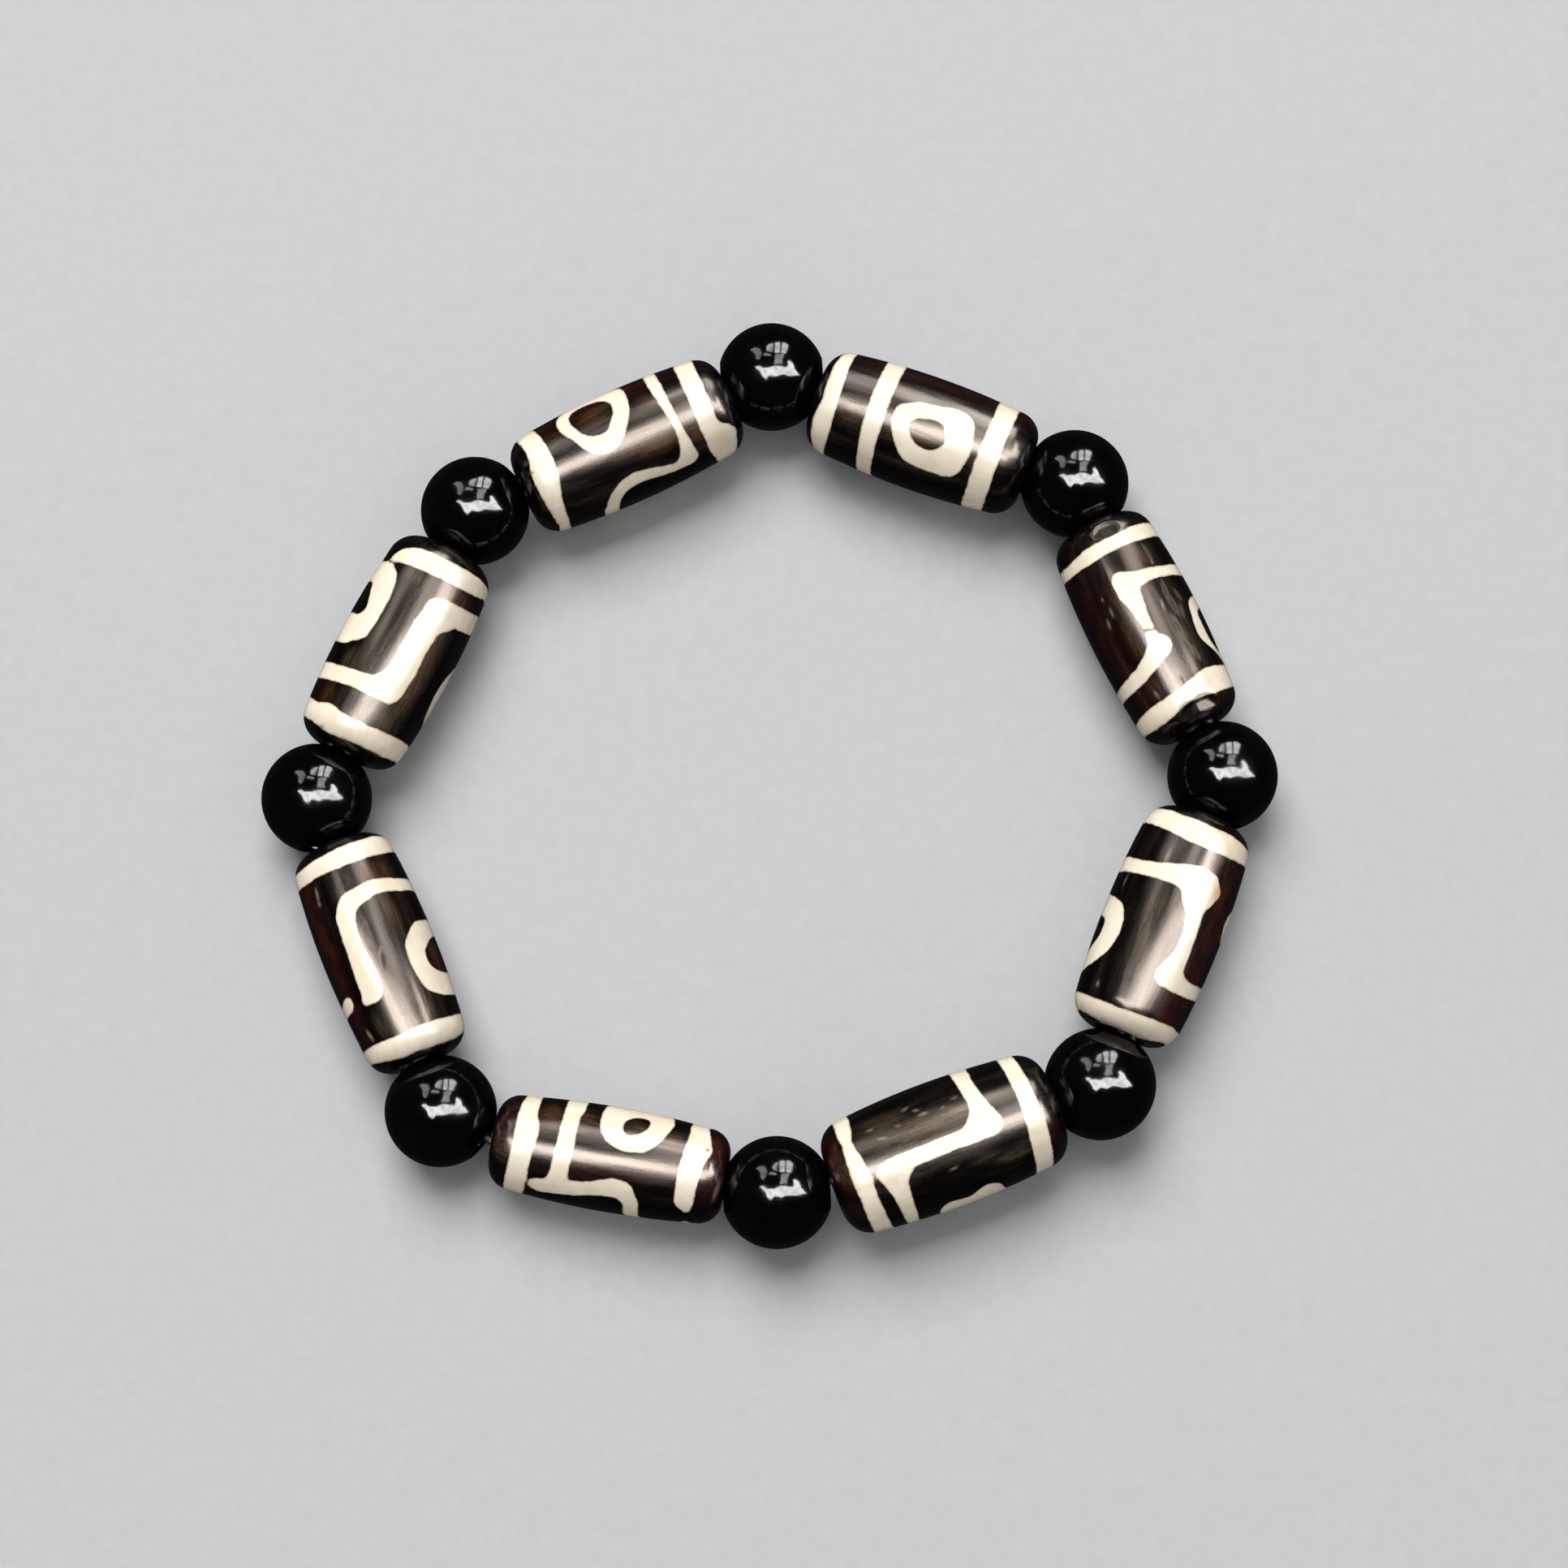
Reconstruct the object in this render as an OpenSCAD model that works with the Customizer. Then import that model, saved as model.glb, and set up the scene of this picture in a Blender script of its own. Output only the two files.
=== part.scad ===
// Bracelet of eight long barrel beads and eight round beads on a closed elastic thread.
// Millimetres, +Z up. It lies flat on the plane z = 0, with the origin in the middle of the ring.
// Each long bead rests on that plane, and the round beads are held between them.

/* [Round beads] */
// Diameter of a round bead
round_d = 7.7; // [7.4:0.1:7.8]
// Diameter of the hole through a round bead
round_hole_d = 2.2; // [2.1:0.1:2.5]

/* [Long beads] */
// Diameter of the hole through a long bead
long_hole_d = 2.5; // [2.4:0.1:2.7]
// Radius of the rounded shoulder at each end, as a share of the bead's radius
shoulder_share = 0.44; // [0.4:0.01:0.46]
// Radius of the hole's flared mouth, as a share of the bead's radius
mouth_share = 0.45; // [0.44:0.01:0.47]
// How deep the flared mouth runs into the bead
mouth_depth = 2.2; // [2:0.1:3]
// How far the barrel's side falls from its middle to where its shoulder begins
barrel_fall = 0.35; // [0.2:0.05:0.6]
// Room between a round bead and the seat worn for it in the end of a long bead
bead_room = 0.12; // [0.1:0.01:0.2]

/* [Thread] */
// Thickness of the elastic thread
thread_d = 0.6; // [0.4:0.1:0.7]
// Room left between the thread and the wall that it leans on
thread_room = 0.12; // [0.1:0.01:0.2]

/* [Hidden] */
pairs = 8;

// Middle of each round bead, clockwise seen from above: across, away
ROUND_BEADS = [
    [0.1, 29.2],
    [21.7, 21.2],
    [31.7, -0.1],
    [22.7, -21.8],
    [0.5, -29.2],
    [-22.6, -23.6],
    [-31.7, -1.7],
    [-21.0, 19.2]
];

// Long beads, each between its own round bead and the next, hand made and so all a little different:
// length, radius at the middle, shift along the string, shift outward, turn outward in degrees
LONG_BEADS = [
    [16.0, 4.12, 0.05, -0.22, 0],
    [16.3, 4.02, -0.15, -0.1, 0],
    [16.3, 4.22, -0.15, -0.05, 0],
    [16.2, 4.38, -0.2, 0.5, 2],
    [16.2, 3.62, -0.2, 0.45, 3.5],
    [16.4, 3.94, 0, -0.1, 0.5],
    [16.2, 4.18, 0.05, 0.02, 0.8],
    [16.2, 4.03, 0.15, -0.2, 0]
];
LENGTH = 0;
RADIUS = 1;
ALONG = 2;
OUTWARD = 3;
TURN = 4;

round_r = round_d / 2;
round_hole_r = round_hole_d / 2;
long_hole_r = long_hole_d / 2;
thread_r = thread_d / 2;
// Where the thread leans in a hole, measured from the middle of the hole
lean_in_round = round_hole_r - thread_r - thread_room;
lean_in_long = long_hole_r - thread_r - thread_room;
// The thread turns this far past the edge of the round bead's hole
turn_clear = 0.14;
turn_at = sqrt(round_r ^ 2 - round_hole_r ^ 2) + turn_clear;
// Extra length of a cut past the face that it goes through
past = 1;
fine = 96;
thread_sides = 8;
// The barrel's side is part of so large a circle that it needs more segments
finest = 720;

function unit(v) = v / norm(v);
function after(i) = (i + 1) % pairs;
function before(i) = (i + pairs - 1) % pairs;
function facing(angle) = [cos(angle), sin(angle), 0];
function heading(from, to) = atan2(to.y - from.y, to.x - from.x);

// A round bead is held at the mean height of its two neighbours, and never below the surface
function round_height(i) = max(round_r, (LONG_BEADS[before(i)][RADIUS] + LONG_BEADS[i][RADIUS]) / 2);
function round_middle(i) = [ROUND_BEADS[i].x, ROUND_BEADS[i].y, round_height(i)];
// The hole runs from the bead before to the bead after
function round_heading(i) = heading(ROUND_BEADS[before(i)], ROUND_BEADS[after(i)]);

function chord(i) = heading(ROUND_BEADS[i], ROUND_BEADS[after(i)]);
function long_heading(i) = chord(i) + LONG_BEADS[i][TURN];
function long_middle(i) =
    let (middle = (ROUND_BEADS[i] + ROUND_BEADS[after(i)]) / 2)
    [middle.x, middle.y, LONG_BEADS[i][RADIUS]]
    + LONG_BEADS[i][ALONG] * facing(chord(i))
    + LONG_BEADS[i][OUTWARD] * facing(chord(i) + 90);

// The thread is stretched, so it leans inward in each round bead and outward in each long bead
function round_thread(i, side) =
    round_middle(i)
    + side * turn_at * facing(round_heading(i))
    + lean_in_round * facing(round_heading(i) - 90);
function long_thread(i, side) =
    long_middle(i)
    + side * (LONG_BEADS[i][LENGTH] / 2 - mouth_depth) * facing(long_heading(i))
    + lean_in_long * facing(long_heading(i) + 90);
thread_points = [
    for (i = [0:pairs - 1])
        each [round_thread(i, -1), round_thread(i, 1), long_thread(i, -1), long_thread(i, 1)]
];

// Half of a long bead's section: radius across, length up and down
module long_section(length, radius) {
    shoulder = shoulder_share * radius;
    shoulder_at = length / 2 - shoulder;
    side_r = (shoulder_at ^ 2 + barrel_fall ^ 2) / (2 * barrel_fall);
    side_middle = radius - side_r;
    // The shoulder's circle touches the side's circle from within
    shoulder_from_axis = side_middle + sqrt((side_r - shoulder) ^ 2 - shoulder_at ^ 2);
    side_end = shoulder_at * side_r / (side_r - shoulder);
    mouth = mouth_share * radius;
    mouth_slope = (mouth - long_hole_r) / mouth_depth;
    difference() {
        union() {
            intersection() {
                translate([side_middle, 0]) circle(side_r, $fn = finest);
                translate([0, -side_end]) square([radius + past, 2 * side_end]);
            }
            for (end = [-1, 1])
                translate([shoulder_from_axis, end * shoulder_at]) circle(shoulder, $fn = fine);
            translate([0, -length / 2]) square([shoulder_from_axis, length]);
        }
        polygon([
            [-past, -length / 2 - past],
            [mouth + past * mouth_slope, -length / 2 - past],
            [long_hole_r, -length / 2 + mouth_depth],
            [long_hole_r, length / 2 - mouth_depth],
            [mouth + past * mouth_slope, length / 2 + past],
            [-past, length / 2 + past]
        ]);
    }
}

module dzi_bead(i) {
    color("#241611")
        difference() {
            translate(long_middle(i))
                rotate([0, 90, long_heading(i)])
                    rotate_extrude($fn = fine)
                        long_section(LONG_BEADS[i][LENGTH], LONG_BEADS[i][RADIUS]);
            for (neighbour = [i, after(i)])
                translate(round_middle(neighbour)) sphere(round_r + bead_room, $fn = fine);
        }
}

module round_bead(i) {
    color("#0c0c0d")
        translate(round_middle(i))
            rotate([0, 90, round_heading(i)])
                difference() {
                    sphere(round_r, $fn = fine);
                    cylinder(h = round_d + 2 * past, r = round_hole_r, center = true, $fn = fine);
                }
}

// Corners of the tube round one point of the route. At a turn they lie on the plane that halves it.
function tube_ring(i) =
    let (
        count = len(thread_points),
        arriving = unit(thread_points[i] - thread_points[(i + count - 1) % count]),
        leaving = unit(thread_points[(i + 1) % count] - thread_points[i]),
        along = unit(arriving + leaving),
        side = unit(cross(along, [0, 0, 1])),
        up = cross(side, along),
        stretch = 1 / (along * leaving)
    )
    [
        for (k = [0:thread_sides - 1])
            thread_points[i]
            + thread_r * (stretch * cos(k * 360 / thread_sides) * side + sin(k * 360 / thread_sides) * up)
    ];

module elastic_thread() {
    count = len(thread_points);
    color("dimgray")
        polyhedron(
            points = [for (i = [0:count - 1]) each tube_ring(i)],
            faces = [
                for (i = [0:count - 1], k = [0:thread_sides - 1])
                    let (
                        here = i * thread_sides,
                        there = (i + 1) % count * thread_sides,
                        next = (k + 1) % thread_sides
                    )
                    [here + k, there + k, there + next, here + next]
            ]
        );
}

for (i = [0:pairs - 1]) {
    dzi_bead(i);
    round_bead(i);
}
elastic_thread();
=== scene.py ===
# A bracelet of eight patterned dzi beads and eight black round beads on a closed elastic thread.
# Shapes and patterns are worked out in millimetres and scaled to the frame's metres at the end.
from math import asin, atan2, ceil, cos, floor, pi, radians, sin, sqrt

import bmesh
import bpy
import numpy as np
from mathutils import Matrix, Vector, noise


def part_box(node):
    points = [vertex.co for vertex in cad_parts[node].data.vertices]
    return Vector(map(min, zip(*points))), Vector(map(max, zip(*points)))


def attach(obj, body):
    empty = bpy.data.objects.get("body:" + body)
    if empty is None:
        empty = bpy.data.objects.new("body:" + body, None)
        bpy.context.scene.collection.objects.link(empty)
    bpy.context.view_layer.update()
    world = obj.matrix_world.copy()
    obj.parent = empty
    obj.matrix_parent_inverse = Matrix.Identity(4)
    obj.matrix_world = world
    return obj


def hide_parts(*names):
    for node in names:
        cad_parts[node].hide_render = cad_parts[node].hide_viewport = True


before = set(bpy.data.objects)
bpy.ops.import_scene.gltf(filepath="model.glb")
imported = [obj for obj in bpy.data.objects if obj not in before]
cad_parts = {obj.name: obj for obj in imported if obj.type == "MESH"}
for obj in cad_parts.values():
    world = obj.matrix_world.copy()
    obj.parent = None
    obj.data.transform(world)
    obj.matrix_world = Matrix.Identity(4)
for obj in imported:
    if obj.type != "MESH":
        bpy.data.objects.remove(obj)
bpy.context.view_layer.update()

MM = 0.001
UP = np.array([0.0, 0.0, 1.0])
PAIRS = 8
BODY = "root"

# The photograph's view
IMAGE_WIDTH_PX = 1932
FOCAL_PX = 4325
SENSOR_WIDTH = 36
CAMERA_ELEVATION = 78
CAMERA_DISTANCE = 250
LOOKS_AT = np.array([0.99, 0.2, 0.0])
TOWARDS_CAMERA = np.array([0.0, -cos(radians(CAMERA_ELEVATION)), sin(radians(CAMERA_ELEVATION))])
CAMERA_AT = LOOKS_AT + CAMERA_DISTANCE * TOWARDS_CAMERA

# Sizes of the beads and the thread, as in the CAD
ROUND_HOLE_RADIUS = 1.1
LONG_HOLE_RADIUS = 1.25
SHOULDER_SHARE = 0.44
MOUTH_SHARE = 0.45
MOUTH_DEPTH = 2.2
BARREL_FALL = 0.35
BEAD_ROOM = 0.12
THREAD_RADIUS = 0.3
THREAD_ROOM = 0.12
TURN_CLEAR = 0.14

# Long beads: length, radius, shift along the string, shift outward, turn outward in degrees
LONG_BEADS = [
    (16.0, 4.12, 0.05, -0.22, 0),
    (16.3, 4.02, -0.15, -0.1, 0),
    (16.3, 4.22, -0.15, -0.05, 0),
    (16.2, 4.38, -0.2, 0.5, 2),
    (16.2, 3.62, -0.2, 0.45, 3.5),
    (16.4, 3.94, 0, -0.1, 0.5),
    (16.2, 4.18, 0.05, 0.02, 0.8),
    (16.2, 4.03, 0.15, -0.2, 0),
]

# A long bead's mouth: its soft lip as steps in from the face and from the edge, then more steps down to
# the hole, and how far these lie below the edge
LIP = ((0.03, 0.0), (0.12, 0.05))
FLARE_STEPS = (0.5, 1.0, 1.6)
FLARE_FALL = 0.03
# Only what is further out than a long bead's mouth by this much takes the pattern
OUTSIDE_FROM = 0.02
# How wide and how deep the softened edge of a round bead's hole is
ROUND_LIP_WIDTH = 0.08
ROUND_LIP_DEPTH = 0.06
# Where the thread turns, it has points this far before and after, and bends in by this much
BEND_POINTS = (-0.4, -0.15, 0, 0.15, 0.4)
BEND = 0.04

# How finely the pieces are modelled
LONG_STEPS_ROUND = 224
LONG_STEP_ALONG = 0.125
SHOULDER_STEPS = 15
FACE_STEPS = 5
LONG_HOLE_STEPS = 12
ROUND_STEPS_ROUND = 96
ROUND_STEPS_ALONG = 56
ROUND_HOLE_STEPS = 14
THREAD_BEVEL_STEPS = 4
SAME_POINT = 0.0005

# Hand grinding leaves slow waves on a long bead's side: how deep, how far from the ends they fade, how
# close they are along and across the bead, and the level below which they go inward
GRINDING = 0.025
GRINDING_FADE = 1.5
WAVES_ALONG = 0.12
WAVES_ACROSS = 0.3
WAVE_LEVEL = 0.55
# How deep small pits are, and over what width a ground flat runs out into the bead's side
PIT_DEPTH = 0.012
FACET_EDGE = 0.35
# Steps from one bead to the next in the waves, the grain and the polish, so that no two beads are the same
WAVE_SHIFT = 9.0
GRAIN_SHIFT = 40.0
POLISH_SHIFT = 23.0

# How far the floor reaches from its middle, in metres
FLOOR_REACH = 6.0

# Where an open band tapers off behind its bead: how far short of its start, and half its width there
TAPER = ((3.0, 0.62), (1.7, 0.24))
# A hidden eye's half length and half width, for the rim and for the hole in it, and its outline's points
HIDDEN_RIM = (2.7, 2.5)
HIDDEN_HOLE = (1.3, 1.15)
HIDDEN_POINTS = 24

# Height of the plane on which the patterns are charted, and how often a sight line is corrected until it
# meets the bead's side
CHART_PLANE = 4.3
SIGHT_PASSES = 4
# The pattern is worked out on a net of this spacing, and its corners are softened over a few of its cells
NET_SPACING = 0.1
SOFTENING_PASSES = 9
FAR = 9.0
DEEPEST = 0.7
# How far beyond its points a line can still reach round the bead
LINE_REACH = 1.0
TINY = 1e-9

# The drawn pattern of each long bead, charted in millimetres as it is seen from above. A point is
# how far it is along the bead from its middle and outward from the ring, and on a line also half the line's
# width. Bands go once round the bead, open bands taper off behind it, and the winding line may leave from a
# stem or end at it. Blobs add cream and gaps cut it. Points behind are given by degrees round the bead from
# its top, outward first. Marks and pits are along, outward, half length and half width, then a turn in
# degrees and a strength where they have one. Warm, amber and fibre tints are along, outward, reach along,
# reach across and strength. A facet is along, outward, reach, lean along the bead and lean round it in
# degrees, and depth.
# The fibre tints below are partly paler fibres and partly painted brown sheen beside the highlights.
BEAD_1 = dict(
    bands=[
        [(-6.65, 3.8, 0.45), (-7.05, 2.65, 0.55), (-7.05, 1.2, 0.62), (-6.95, -0.35, 0.58),
         (-6.95, -1.95, 0.72), (-6.85, -3, 0.68), (-6.55, -3.9, 0.48)],
        [(5.35, 3.8, 0.8), (5.2, 2.8, 0.76), (5.1, 1.05, 0.76), (5.1, -0.7, 0.77), (5.15, -2.45, 0.78),
         (5.2, -4.2, 0.75)],
    ],
    line=[(-3.3, 3.95, 0.7), (-3.5, 2.75, 0.7), (-3.6, 1.2, 0.68), (-3.55, -0.4, 0.69), (-3.45, -1.8, 0.65),
        (-3.3, -2.85, 0.6), (-2.95, -4.3, 0.56)],
    line_behind=[(-2.9, -112, 0.6), (2.9, -120, 0.6), (3.3, -180, 0.65), (3, -240, 0.6), (-3.1, -249, 0.65)],
    eyes=[dict(
        rim=[(-2.4, 0.6), (-2.2, 1.15), (-1.65, 1.55), (-0.8, 1.9), (-0.15, 1.95), (0.5, 2.1), (1.7, 2.3),
         (2.7, 2.2), (3.35, 1.75), (3.55, 1), (3.75, 0), (3.75, -0.9), (3.65, -1.6), (3.4, -2.3),
         (2.9, -2.75), (2.05, -2.8), (0.7, -2.8), (-0.3, -2.7), (-0.95, -2.3), (-1.45, -1.8), (-1.9, -1.15),
         (-2.25, -0.45)],
        hole=[(-1.05, 0.05), (-0.8, 0.55), (-0.15, 0.8), (0.5, 0.95), (1.2, 0.85), (1.45, 0.55), (1.7, 0),
         (1.85, -0.45), (1.6, -0.8), (1.3, -1.15), (0.7, -1.35), (0, -1.25), (-0.55, -0.85), (-0.9, -0.4)])],
    hidden_eye=(-0.6, 180),
    warm=[(0, 3.7, 7.5, 0.9, 0.5), (-4.8, 3.1, 1, 0.8, 0.3)],
    amber=[(-5.2, -0.9, 0.8, 0.5, 0.6), (0.2, -0.75, 0.8, 0.4, 0.7), (-2.2, -1.2, 0.6, 0.5, 0.5),
        (4.4, -1.2, 0.5, 0.8, 0.5)],
    fibre=[(6.9, 1.3, 0.8, 0.7, 0.35)],
    pale_marks=[(0.55, 1.2, 0.12, 0.08)],
)
BEAD_2 = dict(
    bands=[
        [(-6.4, 3.35, 0.6), (-6.6, 2.5, 0.61), (-6.65, 1.1, 0.52), (-6.6, -0.35, 0.54), (-6.5, -1.3, 0.58),
         (-6.3, -2.2, 0.49), (-6, -3.25, 0.42), (-5.75, -3.9, 0.43)],
        [(5.55, 3.6, 0.8), (5.25, 2.25, 0.97), (5.35, 1.1, 0.74), (5.45, 0.2, 0.6), (5.7, -0.8, 0.65),
         (5.95, -2, 0.72), (6.2, -3, 0.68), (6.45, -3.8, 0.52)],
    ],
    line=[(-2.85, 3.85, 0.48), (-3.3, 2.75, 0.42), (-3.55, 1.9, 0.45), (-3.55, 0.95, 0.55),
        (-3.95, -0.25, 0.66), (-2.8, -0.05, 0.8), (-1.85, 0.05, 0.57), (-1.05, 0, 0.46), (-0.2, 0.05, 0.44),
        (0.65, -0.05, 0.42), (1.5, 0.25, 0.85), (2.35, -1, 0.62), (2.85, -1.9, 0.56), (3.35, -3.2, 0.5),
        (3.85, -4.1, 0.43)],
    line_behind=[(3.8, -112, 0.5), (3.4, -165, 0.55), (-2.9, -195, 0.6), (-3, -250, 0.5)],
    gaps=[[(0.36, 0.72, 0.11), (0.2, 0.2, 0.06), (0.02, -0.46, 0.09)],
        [(0.02, -0.36, 0.1), (0.1, -0.42, 0.1)]],
    eyes=[dict(
        rim=[(-0.75, 3.85), (-0.55, 3.45), (0.3, 3.25), (1.45, 3.05), (2.3, 3.05), (3.15, 3.4), (4, 3.65),
         (4.65, 3.8)],
        rim_behind=[(4.4, 105), (3.4, 128), (1.5, 135), (0, 128), (-0.8, 108)],
        hole=[(0.3, 3.75), (0.8, 3.65), (1.45, 3.6), (2.45, 3.6), (3.15, 3.7), (3.7, 3.8)],
        hole_behind=[(3.2, 100), (2.5, 112), (1, 112), (0.3, 98)])],
    hidden_eye=(-0.8, -142),
    warm=[(0, -3, 7, 1.3, 0.4), (6.9, 2.2, 0.7, 1.5, 0.4), (-4.9, 2, 0.8, 0.8, 0.4)],
    amber=[(-3, -1.3, 1.2, 0.35, 0.8), (0.3, -1.4, 1.6, 0.4, 0.6), (4.2, -1.6, 0.8, 0.6, 0.7),
        (-4.8, 1.6, 1, 0.8, 0.4)],
    fibre=[(1.4, 2.3, 2.8, 0.6, 0.35), (-1.4, 2.6, 1.8, 0.6, 0.3), (-5, 2.2, 1, 0.7, 0.3)],
    pale_marks=[(-2.1, -1.84, 0.36, 0.07, -4), (-1.4, -2.4, 0.34, 0.08, -8), (4.6, -1.6, 0.33, 0.09, 12),
        (-1.1, 1.7, 0.4, 0.07, -8), (-4.2, 2.4, 0.16, 0.08), (-3.2, -2, 0.1, 0.07)],
    pits=[(-2, 2.35, 0.7, 0.16, -10), (-0.8, 2.4, 0.8, 0.2, 5), (0.7, 2, 0.75, 0.13, 8),
        (-5, 2.4, 0.7, 0.12, 3), (2.2, 1.95, 0.75, 0.12, 12), (4.4, 0.55, 0.35, 0.08, 4),
        (-1.3, 3, 0.5, 0.14, 12), (-0.1, 2.75, 0.5, 0.12, -15), (3.1, 2.3, 0.5, 0.1, 6)],
    facets=[(7.05, 1, 1.3, 21, 6, 0.09), (7.1, 0.1, 1.2, 22, -8, 0.08), (-7.25, 0.5, 1.4, -22, 2, 0.07)],
)
BEAD_3 = dict(
    bands=[
        [(-6.9, 3.55, 0.6), (-7.2, 2.3, 0.81), (-7.25, 0.85, 0.82), (-7.3, -0.45, 0.85), (-7.35, -1.75, 0.75),
         (-7.35, -2.7, 0.71), (-7.2, -3.6, 0.64)],
        [(6.9, 3.45, 0.51), (6.85, 2.75, 0.66), (6.9, 0.95, 0.64), (6.9, -0.65, 0.54), (6.95, -2.25, 0.59),
         (6.9, -3.55, 0.55)],
    ],
    line=[(-3.15, -4.15, 0.6), (-3.45, -3.1, 0.51), (-3.7, -1.8, 0.57), (-3.95, -0.65, 0.74),
        (-4.05, 0.3, 0.93), (-4.05, 1.25, 1.15), (-2.9, 1.4, 1.03), (-1.8, 1.75, 0.64), (-0.45, 1.95, 0.57),
        (0.85, 1.95, 0.58), (1.85, 1.85, 0.73), (3, 1.4, 0.8), (3.3, 2.4, 0.6), (3.4, 3.35, 0.52),
        (3.4, 4.1, 0.5)],
    line_behind=[(3.4, 105, 0.55), (3.2, 190, 0.6), (-3, 212, 0.6), (-3.1, 248, 0.6)],
    blobs=[[(-4.3, 1.95, 0.75), (-3.75, 2.42, 0.65), (-2.9, 1.95, 0.7)], [(2.6, 2.1, 0.5), (3.1, 2.6, 0.5)]],
    eyes=[dict(
        rim=[(-0.85, -4.1), (-0.8, -3.6), (-0.45, -3.05), (0.2, -2.75), (1.2, -2.6), (2.2, -2.7), (3, -2.95),
         (4, -3.5), (5.15, -4.15)],
        rim_behind=[(4.9, -105), (3.6, -125), (1.5, -132), (-0.2, -122), (-0.9, -105)],
        hole=[(0.75, -4.2), (0.8, -4), (1.1, -3.85), (2.2, -3.85), (3.2, -4.1), (3.8, -4.25)],
        hole_behind=[(3.5, -100), (2.8, -110), (1.5, -110), (0.8, -98)]), dict(
        rim=[(-3.1, 4.15), (-2.6, 3.97), (-1.8, 3.95), (-0.9, 4.05), (-0.5, 4.15)],
        rim_behind=[(-0.2, 105), (-0.6, 130), (-1.8, 138), (-3, 130), (-3.5, 105)],
        hole_behind=[(-2.4, 100), (-1.2, 100), (-1, 113), (-1.8, 118), (-2.6, 113)])],
    warm=[(0, 3.4, 8, 1.1, 1), (5, 2.5, 1.6, 1.2, 0.8), (-5.4, 2.2, 1, 1, 0.5)],
    tan_marks=[(-3.85, 2.75, 0.75, 0.42, -5)],
    pale_marks=[(-2.2, -3.6, 0.5, 0.05), (5.3, -2.7, 0.2, 0.1, 20), (-4.9, -1.5, 0.6, 0.1)],
    fibre=[(-0.5, -1, 3.4, 0.7, 0.35), (-5.2, -1.6, 1, 0.5, 0.4)],
)
BEAD_4 = dict(
    bands=[
        [(-6.15, 4.35, 0.63), (-6.45, 3.2, 0.68), (-6.6, 1.95, 0.7), (-6.7, 1, 0.7), (-6.65, -0.15, 0.64),
         (-6.6, -1.1, 0.62), (-6.45, -2.2, 0.6), (-6.25, -3.15, 0.56), (-6.05, -3.7, 0.55)],
        [(5.55, 4.8, 0.68), (5.75, 3.55, 0.63), (5.85, 2.25, 0.58), (5.9, 1, 0.66), (6, -0.15, 0.58),
         (6.1, -1.1, 0.43), (6.1, -1.6, 0.35), (6.1, -2.2, 0.54), (6.05, -3, 0.56)],
    ],
    line=[(-2.7, -3.75, 0.6), (-2.95, -2.7, 0.54), (-3.2, -1.75, 0.6), (-3.35, -0.8, 0.8),
        (-3.85, 0.25, 0.75), (-2.95, 0.45, 0.65), (-1, 0.55, 0.56), (0.6, 0.65, 0.56), (2.2, 0.75, 0.59),
        (3.7, 0.95, 0.7), (4.15, 1.05, 0.7), (3.7, 2, 0.8), (3.6, 2.9, 0.6), (3.55, 3.85, 0.5),
        (3.5, 4.8, 0.43)],
    line_behind=[(3.5, 108, 0.5), (3.3, 172, 0.6), (-2.8, 198, 0.6), (-2.7, 250, 0.6)],
    blobs=[[(2.7, 1.15, 0.45), (3.1, 1.6, 0.5)], [(-2.75, -0.35, 0.55), (-2.2, 0.05, 0.35)]],
    eyes=[dict(
        rim=[(-3.35, 4.8), (-3.1, 4.35), (-2.6, 4.1), (-2, 4.05), (-1.35, 4.25), (-0.85, 4.45), (-0.2, 4.45),
         (0.6, 4.35), (1.25, 4.55), (1.55, 4.8)],
        rim_behind=[(1.9, 104), (1.4, 128), (-0.8, 139), (-3, 128), (-3.7, 104)],
        hole_behind=[(-2.3, 99), (-0.9, 95), (0.5, 99), (0.7, 109), (0.2, 119), (-0.9, 122), (-2.1, 119),
         (-2.6, 109)])],
    hidden_eye=(0.9, -132),
    warm=[(7.5, -0.5, 0.9, 2.5, 1), (6.9, 2.5, 0.6, 1.6, 0.5), (-7.5, 2, 0.7, 1.5, 0.5)],
    fibre=[(0.6, -1.2, 4.2, 0.8, 0.8), (3.4, -2.2, 1.5, 0.7, 0.4), (-4.5, 2.75, 1.2, 0.45, 0.7),
        (-2.6, 2.3, 1, 0.35, 0.4), (6.9, 0.2, 0.6, 1.2, 0.4)],
    pale_marks=[(0.5, -1.9, 0.34, 0.1), (3.7, -1.2, 0.36, 0.08, -10), (-0.9, -1.9, 0.2, 0.06, 30),
        (-0.3, 2.3, 0.3, 0.06, 12), (1.6, -2.6, 0.25, 0.07, 15), (4.3, -2, 0.2, 0.07),
        (2.4, -1.7, 0.2, 0.06, -15), (-1.9, -2.3, 0.25, 0.06, 10), (0.9, -2.3, 0.2, 0.07, -8)],
)
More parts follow.
